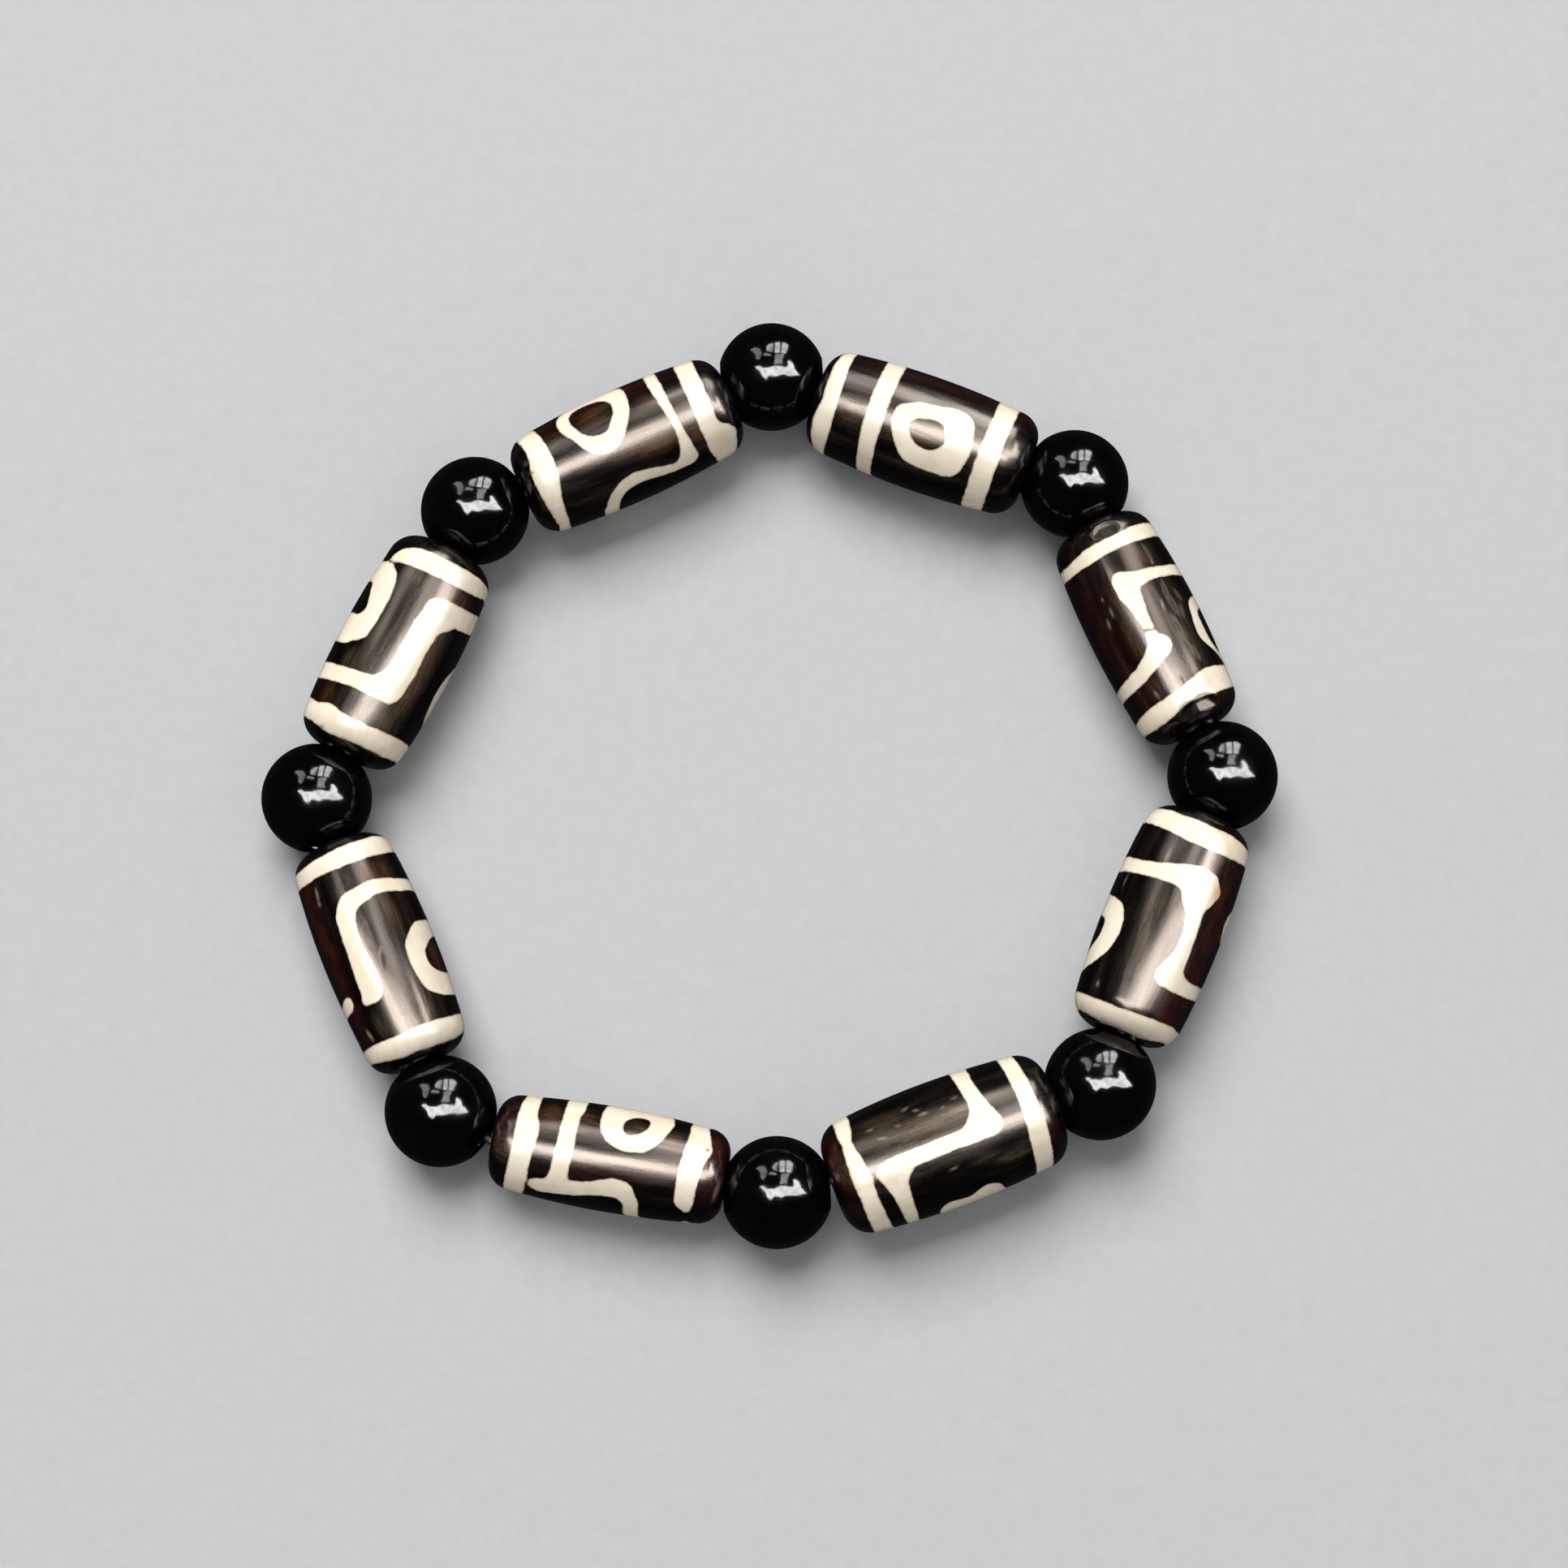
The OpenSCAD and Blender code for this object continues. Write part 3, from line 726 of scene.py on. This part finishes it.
def long_bead(i, stone):
    """A ground and worn barrel, with the values on it that its material reads."""
    bead, pattern = LongBead(i), PATTERNS[i]
    maker = spun(long_outline(bead), bead.middle, bead.axis, LONG_STEPS_ROUND)
    net = Net(bead)
    places = np.array([v.co for v in maker.verts]) - bead.middle
    s, o, u = places @ bead.axis, places @ bead.out, places @ UP
    from_axis = np.hypot(o, u)
    around = bead.radius * np.arctan2(o, u)
    outside = from_axis > bead.mouth + OUTSIDE_FROM
    pit = net.read(net.marks(pattern.get("pits", [])), s, around) * outside
    ends = np.clip((bead.shoulder_at - np.abs(s)) / GRINDING_FADE, 0, 1)
    waves = zip(s * WAVES_ALONG + WAVE_SHIFT * i, o * WAVES_ACROSS, u * WAVES_ACROSS)
    waves = np.array([noise.noise(Vector(place)) for place in waves])
    depth = GRINDING * (waves - WAVE_LEVEL) * ends - PIT_DEPTH * pit
    radial = (o[:, None] * bead.out + u[:, None] * UP) / from_axis[:, None]
    points = bead.middle + places + (depth * outside)[:, None] * radial
    points = grind_facets(points, bead, pattern.get("facets", []))
    for vertex, point in zip(maker.verts, wear_seats(points, bead)):
        vertex.co = point
    piece = new_piece(f"dzi_bead_{i + 1}_stone", maker, f"dzi_bead_{i + 1}", stone)
    give(piece, "bead_place", np.stack([s + GRAIN_SHIFT * i, o, u], 1))
    give(piece, "line_edge", np.where(outside, net.read(net.pattern(pattern), s, around), DEEPEST))
    # The fibre tint is partly paler fibres and partly painted brown sheen beside the highlights.
    for layer, keys in ((net.tints, ("warm", "amber", "fibre")), (net.marks, ("pale_marks", "tan_marks"))):
        for key in keys:
            give(piece, key, net.read(layer(pattern.get(key, [])), s, around) * outside)
    give(piece, "pit", pit)
    # How far a place is from the end face, in shares of the shoulder: 0 on the face, 1 on the side
    give(piece, "side_share", np.clip((bead.length / 2 - np.abs(s)) / bead.shoulder, 0, 1))


def give(piece, name, values):
    """Keeps a value or a vector for each vertex, for the material to read."""
    kind = "FLOAT_VECTOR" if values.ndim == 2 else "FLOAT"
    attribute = piece.data.attributes.new(name, kind, "POINT")
    attribute.data.foreach_set("vector" if values.ndim == 2 else "value", values.astype(np.float32).ravel())


def round_outline():
    """Half of a round bead's section: its outside, the softened edges of its hole, and the hole."""
    lip_radius = ROUND_HOLE_RADIUS + ROUND_LIP_WIDTH
    hole_at = sqrt(ROUND_RADIUS ** 2 - lip_radius ** 2)
    lip = atan2(lip_radius, hole_at)
    turns = np.linspace(lip, pi - lip, ROUND_STEPS_ALONG)
    outside = [(-ROUND_RADIUS * cos(t), ROUND_RADIUS * sin(t)) for t in turns]
    hole_end = hole_at - ROUND_LIP_DEPTH
    hole = [(s, ROUND_HOLE_RADIUS) for s in np.linspace(hole_end, -hole_end, ROUND_HOLE_STEPS)]
    return outside + hole


def round_bead(i, stone):
    maker = spun(round_outline(), ROUND_MIDDLES[i], round_heading(i), ROUND_STEPS_ROUND)
    places = np.array([v.co for v in maker.verts]) - ROUND_MIDDLES[i] + [POLISH_SHIFT * i, 0, 0]
    piece = new_piece(f"round_bead_{i + 1}_stone", maker, f"round_bead_{i + 1}", stone)
    give(piece, "bead_place", places)


def thread_route():
    """The thread leans inward in each round bead and outward in each long bead."""
    lean_in_round = ROUND_HOLE_RADIUS - THREAD_RADIUS - THREAD_ROOM
    lean_in_long = LONG_HOLE_RADIUS - THREAD_RADIUS - THREAD_ROOM
    turn_at = sqrt(ROUND_RADIUS ** 2 - ROUND_HOLE_RADIUS ** 2) + TURN_CLEAR
    route = []
    for i in range(PAIRS):
        heading = round_heading(i)
        held = ROUND_MIDDLES[i] - lean_in_round * across(heading)
        route += [held - turn_at * heading, held + turn_at * heading]
        bead = LongBead(i)
        held = bead.middle + lean_in_long * bead.out
        reach = bead.length / 2 - MOUTH_DEPTH
        route += [held - reach * bead.axis, held + reach * bead.axis]
    return route


def elastic_thread(rubber):
    """A closed tube with a short curve at each turn."""
    route = thread_route()
    curve = bpy.data.curves.new("thread_route", "CURVE")
    curve.dimensions = "3D"
    curve.bevel_depth = THREAD_RADIUS
    curve.bevel_resolution = THREAD_BEVEL_STEPS
    points = []
    for before, here, after in zip(route[-1:] + route[:-1], route, route[1:] + route[:1]):
        inward = unit(before - here) + unit(after - here)
        for reach in BEND_POINTS:
            towards = after if reach > 0 else before
            bend = BEND * (1 - abs(reach) / BEND_POINTS[-1])
            points.append(here + abs(reach) * unit(towards - here) + bend * inward)
    spline = curve.splines.new("POLY")
    spline.points.add(len(points) - 1)
    for point, place in zip(spline.points, points):
        point.co = (*place, 1)
    spline.use_cyclic_u = True
    helper = placed("thread_route", curve)
    bpy.context.view_layer.update()
    maker = bmesh.new()
    evaluated = helper.evaluated_get(bpy.context.evaluated_depsgraph_get())
    maker.from_mesh(evaluated.to_mesh())
    evaluated.to_mesh_clear()
    bpy.data.objects.remove(helper)
    bmesh.ops.remove_doubles(maker, verts=maker.verts, dist=SAME_POINT)
    bmesh.ops.recalc_face_normals(maker, faces=maker.faces)
    new_piece("elastic_thread_strand", maker, "elastic_thread", rubber)


def fill(tree, node, values):
    """Sets a node's sockets to plain values, or links them to what other nodes give."""
    for socket, value in values.items():
        if isinstance(value, bpy.types.NodeSocket):
            tree.links.new(value, node.inputs[socket])
        else:
            node.inputs[socket].default_value = value


def new_node(tree, kind, values):
    """A new shader node with its sockets filled."""
    node = tree.nodes.new("ShaderNode" + kind)
    fill(tree, node, values)
    return node


class Finish:
    """A node material on one principled shader, with short ways to add its usual parts."""

    def __init__(self, name, **values):
        self.material = bpy.data.materials.new(name)
        self.material.use_nodes = True
        self.tree = self.material.node_tree
        for key, value in values.items():
            self.shade(key.replace("_", " "), value)

    def shade(self, socket, value):
        fill(self.tree, self.tree.nodes["Principled BSDF"], {socket: value})

    def attribute(self, name, output="Fac"):
        node = new_node(self.tree, "Attribute", {})
        node.attribute_name = name
        return node.outputs[output]

    def object_place(self):
        return new_node(self.tree, "TexCoord", {}).outputs["Object"]

    def noise(self, place, scale, detail, roughness=0.5, distortion=0.0):
        """Noise that changes along each axis as fast as the scale says."""
        place = new_node(self.tree, "Mapping", {"Vector": place, "Scale": scale}).outputs["Vector"]
        values = {"Scale": 1.0, "Detail": detail, "Roughness": roughness, "Distortion": distortion}
        return new_node(self.tree, "TexNoise", {"Vector": place, **values}).outputs["Fac"]

    def math(self, operation, a, b):
        node = new_node(self.tree, "Math", {0: a, 1: b})
        node.operation = operation
        return node.outputs[0]

    def plus(self, a, b):
        return self.math("ADD", a, b)

    def times(self, a, b):
        return self.math("MULTIPLY", a, b)

    def ramp(self, value, low, high, to_low=0.0, to_high=1.0):
        values = {"Value": value, "From Min": low, "From Max": high, "To Min": to_low, "To Max": to_high}
        node = new_node(self.tree, "MapRange", values)
        node.interpolation_type = "SMOOTHSTEP"
        return node.outputs["Result"]

    def mix(self, share, a, b):
        """Colour a where the share is 0, and b where it is 1."""
        node = new_node(self.tree, "Mix", {})
        node.data_type = "RGBA"
        a, b = ((*colour, 1) if isinstance(colour, tuple) else colour for colour in (a, b))
        fill(self.tree, node, {0: share, 6: a, 7: b})
        return node.outputs[2]

    def painted(self, under, name, share, colour):
        """A colour over another one, as strongly as the bead's own value of that name and the share say."""
        return self.mix(self.times(self.attribute(name), share), under, colour)

    def bump(self, height, distance):
        node = new_node(self.tree, "Bump", {"Height": height, "Distance": distance, "Strength": 1.0})
        self.shade("Normal", node.outputs["Normal"])


def dzi_stone():
    """Near-black brown with a lengthwise grain, and cream lines etched flush into it."""
    f = Finish(
        "dzi_brown_and_cream", IOR=1.5, Specular_Tint=(1, 0.83, 0.66, 1), Coat_Weight=0.3, Coat_Roughness=0.23
    )
    place = f.attribute("bead_place", "Vector")
    streak = f.noise(place, (0.2, 1.5, 1.5), 4.0, roughness=0.6, distortion=0.3)
    fine_streak = f.noise(place, (0.55, 6.5, 6.5), 3.0, roughness=0.6, distortion=0.2)
    cloud = f.noise(place, (0.8, 0.8, 0.8), 3.0)
    grain = f.noise(place, (9, 9, 9), 2.0)

    wobble = f.times(f.plus(f.noise(place, (1.6, 1.6, 1.6), 2.0), -0.5), 0.16)
    fringe = f.times(f.plus(f.noise(place, (7, 7, 7), 2.0), -0.5), 0.06)
    edge = f.plus(f.attribute("line_edge"), f.plus(wobble, fringe))
    cream_share = f.ramp(edge, 0.045, -0.055)
    rim_share = f.ramp(edge, -0.17, 0.02)

    # Brown: darker and lighter streaks, red-brown where the dye is thin, and olive patches that are partly
    # paler fibres where it is missing and partly painted brown sheen beside the highlights
    brown = f.mix(f.ramp(streak, 0.42, 0.76), (0.0005, 0.0002, 0.0001), (0.004, 0.0016, 0.0007))
    brown = f.painted(brown, "warm", f.ramp(cloud, 0.3, 0.7, 0.35), (0.042, 0.0062, 0.0036))
    brown = f.painted(brown, "fibre", f.ramp(fine_streak, 0.34, 0.6, 0.2), (0.095, 0.07, 0.04))
    brown = f.painted(brown, "amber", f.ramp(fine_streak, 0.36, 0.62, 0.15), (0.085, 0.033, 0.0095))
    brown = f.painted(brown, "pale_marks", 0.75, (0.3, 0.25, 0.18))

    # Cream: a little mottled, tan near its edges
    cream = f.mix(f.ramp(cloud, 0.3, 0.75), (0.95, 0.855, 0.69), (0.87, 0.75, 0.56))
    cream = f.mix(f.ramp(fine_streak, 0.5, 0.85, 0.0, 0.3), cream, (0.66, 0.53, 0.36))
    cream = f.painted(cream, "tan_marks", 0.8, (0.7, 0.36, 0.12))
    cream = f.mix(f.times(rim_share, 0.55), cream, (0.42, 0.29, 0.17))
    colour = f.mix(cream_share, brown, cream)
    colour = f.painted(colour, "pit", 0.9, (0.003, 0.0018, 0.0013))
    f.shade("Base Color", colour)

    dull = f.ramp(streak, 0.34, 0.66, 0.16, 0.29)
    dull = f.plus(dull, f.ramp(grain, 0.35, 0.75, 0.0, 0.05))
    dull = f.plus(dull, f.times(f.attribute("pit"), 0.8))
    f.shade("Roughness", dull)
    height = f.plus(streak, f.times(fine_streak, 0.16))
    height = f.plus(height, f.times(grain, 0.02))
    # The grain shows less where the ends cut across it
    f.bump(f.times(height, f.ramp(f.attribute("side_share"), 0.0, 1.0, 0.25)), 0.000017)
    return f.material


def black_stone():
    """Polished black, with a few faint smears and specks in the polish."""
    f = Finish("polished_black", IOR=1.5, Specular_IOR_Level=0.43)
    place = f.attribute("bead_place", "Vector")
    cloud = f.noise(place, (0.5, 0.5, 0.5), 3.0)
    speck = f.noise(place, (6, 6, 6), 2.0)
    colour = f.mix(f.ramp(cloud, 0.35, 0.7), (0.0004, 0.0004, 0.0005), (0.0014, 0.0012, 0.0012))
    colour = f.mix(f.ramp(speck, 0.7, 0.8, 0.0, 0.5), colour, (0.008, 0.007, 0.006))
    f.shade("Base Color", colour)
    dull = f.plus(f.ramp(cloud, 0.4, 0.8, 0.09, 0.14), f.ramp(speck, 0.66, 0.8, 0.0, 0.12))
    f.shade("Roughness", dull)
    f.bump(f.plus(f.noise(place, (0.6, 0.6, 0.6), 2.0), f.times(speck, 0.02)), 0.00003)
    return f.material


def dark_rubber():
    """The stretch thread: dark, with fine fibres."""
    f = Finish("dark_stretch_thread", IOR=1.5)
    fibre = f.noise(f.object_place(), (3000, 3000, 9000), 3.0)
    colour = f.mix(f.ramp(fibre, 0.35, 0.65), (0.015, 0.012, 0.011), (0.05, 0.043, 0.038))
    f.shade("Base Color", colour)
    f.shade("Roughness", f.ramp(fibre, 0.3, 0.7, 0.45, 0.65))
    f.bump(fibre, 0.00004)
    return f.material


def floor_paper():
    """Pale matt floor with a very faint tooth."""
    f = Finish("pale_floor", IOR=1.3, Roughness=0.9)
    tooth = f.noise(f.object_place(), (900, 900, 900), 3.0)
    colour = f.mix(f.ramp(tooth, 0.3, 0.7), (0.46, 0.465, 0.475), (0.48, 0.485, 0.495))
    f.shade("Base Color", colour)
    return f.material


def pale_floor():
    maker = bmesh.new()
    bmesh.ops.create_grid(maker, x_segments=1, y_segments=1, size=FLOOR_REACH)
    floor = made("pale_floor", maker)
    floor.data.materials.append(floor_paper())
    floor.visible_glossy = False


# What shows in the gloss: how bright each lit window pane is, and its outline where it shows on a round
# bead, in shares of the bead's radius to the right of its middle and up from it
WINDOW_PANES = [
    (23, [(-0.3, 0.14), (-0.22, 0.16), (-0.16, 0.12), (-0.04, 0.12), (0.08, 0.17), (0.2, 0.15), (0.28, 0.13),
          (0.31, 0.19), (0.3, 0.25), (0.34, 0.27), (0.4, 0.2), (0.43, 0.11), (0.53, 0.0), (0.36, -0.02),
          (0.2, 0.0), (0.08, -0.04), (-0.04, -0.02), (-0.1, -0.09), (-0.16, -0.04), (-0.2, 0.05)]),
    (8, [(0.05, 0.2), (0.19, 0.2), (0.18, 0.29), (0.22, 0.38), (0.07, 0.37), (0.07, 0.28)]),
    (10, [(-0.08, 0.44), (0.01, 0.42), (0.03, 0.58), (-0.03, 0.56), (-0.08, 0.5)]),
    (15, [(0.05, 0.41), (0.13, 0.4), (0.15, 0.6), (0.06, 0.59)]),
    (13, [(0.16, 0.4), (0.25, 0.4), (0.29, 0.49), (0.3, 0.55), (0.25, 0.59), (0.18, 0.6)]),
    (8, [(-0.15, 0.36), (-0.01, 0.35), (-0.01, 0.38), (-0.12, 0.4)]),
    (5, [(-0.37, 0.47), (-0.3, 0.5), (-0.21, 0.49), (-0.17, 0.41), (-0.19, 0.32), (-0.23, 0.27),
         (-0.28, 0.3), (-0.28, 0.38)]),
]
# The panes lie on a plane at this distance in metres, square to this direction
WINDOWS_AT = 1.5
WINDOWS_TOWARDS = np.array([0.1, 0.55, 0.83])


def mirrored(right, up):
    """The direction that a round bead mirrors to the camera at this place on it."""
    right_hand = np.array([1.0, 0.0, 0.0])
    upward = np.cross(TOWARDS_CAMERA, right_hand)
    facing = right * right_hand + up * upward + sqrt(1 - right ** 2 - up ** 2) * TOWARDS_CAMERA
    return 2 * (facing @ TOWARDS_CAMERA) * facing - TOWARDS_CAMERA


def window_pane(name, outline, glow):
    """A lit pane of the given outline. It shows in the gloss alone."""
    facing = unit(WINDOWS_TOWARDS)
    maker = bmesh.new()
    rays = [mirrored(right, up) for right, up in outline]
    maker.faces.new([maker.verts.new(WINDOWS_AT / (ray @ facing) * ray) for ray in rays])
    bmesh.ops.triangulate(maker, faces=maker.faces)
    pane = made(name, maker)
    pane.data.materials.append(lit_glass(name, glow))
    pane.visible_camera = pane.visible_diffuse = pane.visible_shadow = pane.visible_transmission = False


def lit_glass(name, glow):
    """A glow that is uneven, like cloud seen through old glass."""
    material = bpy.data.materials.new(name)
    material.use_nodes = True
    tree = material.node_tree
    tree.nodes.remove(tree.nodes["Principled BSDF"])
    place = new_node(tree, "TexCoord", {}).outputs["Object"]
    cloud = new_node(tree, "TexNoise", {"Vector": place, "Scale": 2.5, "Detail": 3}).outputs["Fac"]
    values = {"From Min": 0.35, "From Max": 0.6, "To Min": 0.65 * glow, "To Max": 1.1 * glow}
    strength = new_node(tree, "MapRange", {"Value": cloud, **values}).outputs["Result"]
    light = new_node(tree, "Emission", {"Color": (1, 0.985, 1, 1), "Strength": strength})
    fill(tree, tree.nodes["Material Output"], {"Surface": light.outputs["Emission"]})
    return material


def aimed(name, data, place, backward):
    """A lamp or camera at a place in metres, with its back to a direction."""
    thing = placed(name, data)
    thing.location = place
    thing.rotation_mode = "QUATERNION"
    thing.rotation_quaternion = backward.to_track_quat("Z", "Y")
    return thing


def key_lamp(name, direction, distance, size, radiance):
    """A square lamp for the colours, which doesn't show in the gloss."""
    lamp = bpy.data.lights.new(name, "AREA")
    lamp.size = size
    lamp.energy = radiance * pi * size ** 2
    towards = Vector(direction).normalized()
    box = aimed(name, lamp, towards * distance, towards)
    box.visible_camera = False
    box.visible_glossy = False


def even_room():
    """Even light from all round for the colours, and a much darker room for the gloss."""
    world = bpy.data.worlds.new("even_room")
    world.use_nodes = True
    tree = world.node_tree
    light = tree.nodes["Background"]
    fill(tree, light, {"Color": (0.96, 0.98, 1.0, 1), "Strength": 0.2})
    dark = new_node(tree, "Background", {"Color": (0.9, 0.95, 1.0, 1), "Strength": 0.02})
    gloss = new_node(tree, "LightPath", {}).outputs["Is Glossy Ray"]
    both = new_node(tree, "MixShader", {0: gloss, 1: light.outputs[0], 2: dark.outputs[0]})
    fill(tree, tree.nodes["World Output"], {"Surface": both.outputs[0]})
    bpy.context.scene.world = world


def studio_light():
    for number, (glow, outline) in enumerate(WINDOW_PANES):
        window_pane(f"window_pane_{number + 1}", outline, glow)
    key_lamp("wide_key", (-0.15, 0.5, 0.86), distance=1.6, size=1.1, radiance=8.8)
    key_lamp("near_fill", (0.3, -0.7, 0.65), distance=1.6, size=1.4, radiance=0.6)
    even_room()


def photo_camera():
    data = bpy.data.cameras.new("photo_camera")
    data.sensor_width = SENSOR_WIDTH
    data.lens = FOCAL_PX / IMAGE_WIDTH_PX * SENSOR_WIDTH
    data.clip_start = 0.01
    data.clip_end = 50
    camera = aimed("photo_camera", data, Vector(CAMERA_AT) * MM, Vector(TOWARDS_CAMERA))
    bpy.context.scene.camera = camera


photo_camera()
pale_floor()
studio_light()
bpy.context.scene.view_settings.view_transform = "Standard"
dzi = dzi_stone()
black = black_stone()
for number in range(PAIRS):
    long_bead(number, dzi)
    round_bead(number, black)
elastic_thread(dark_rubber())
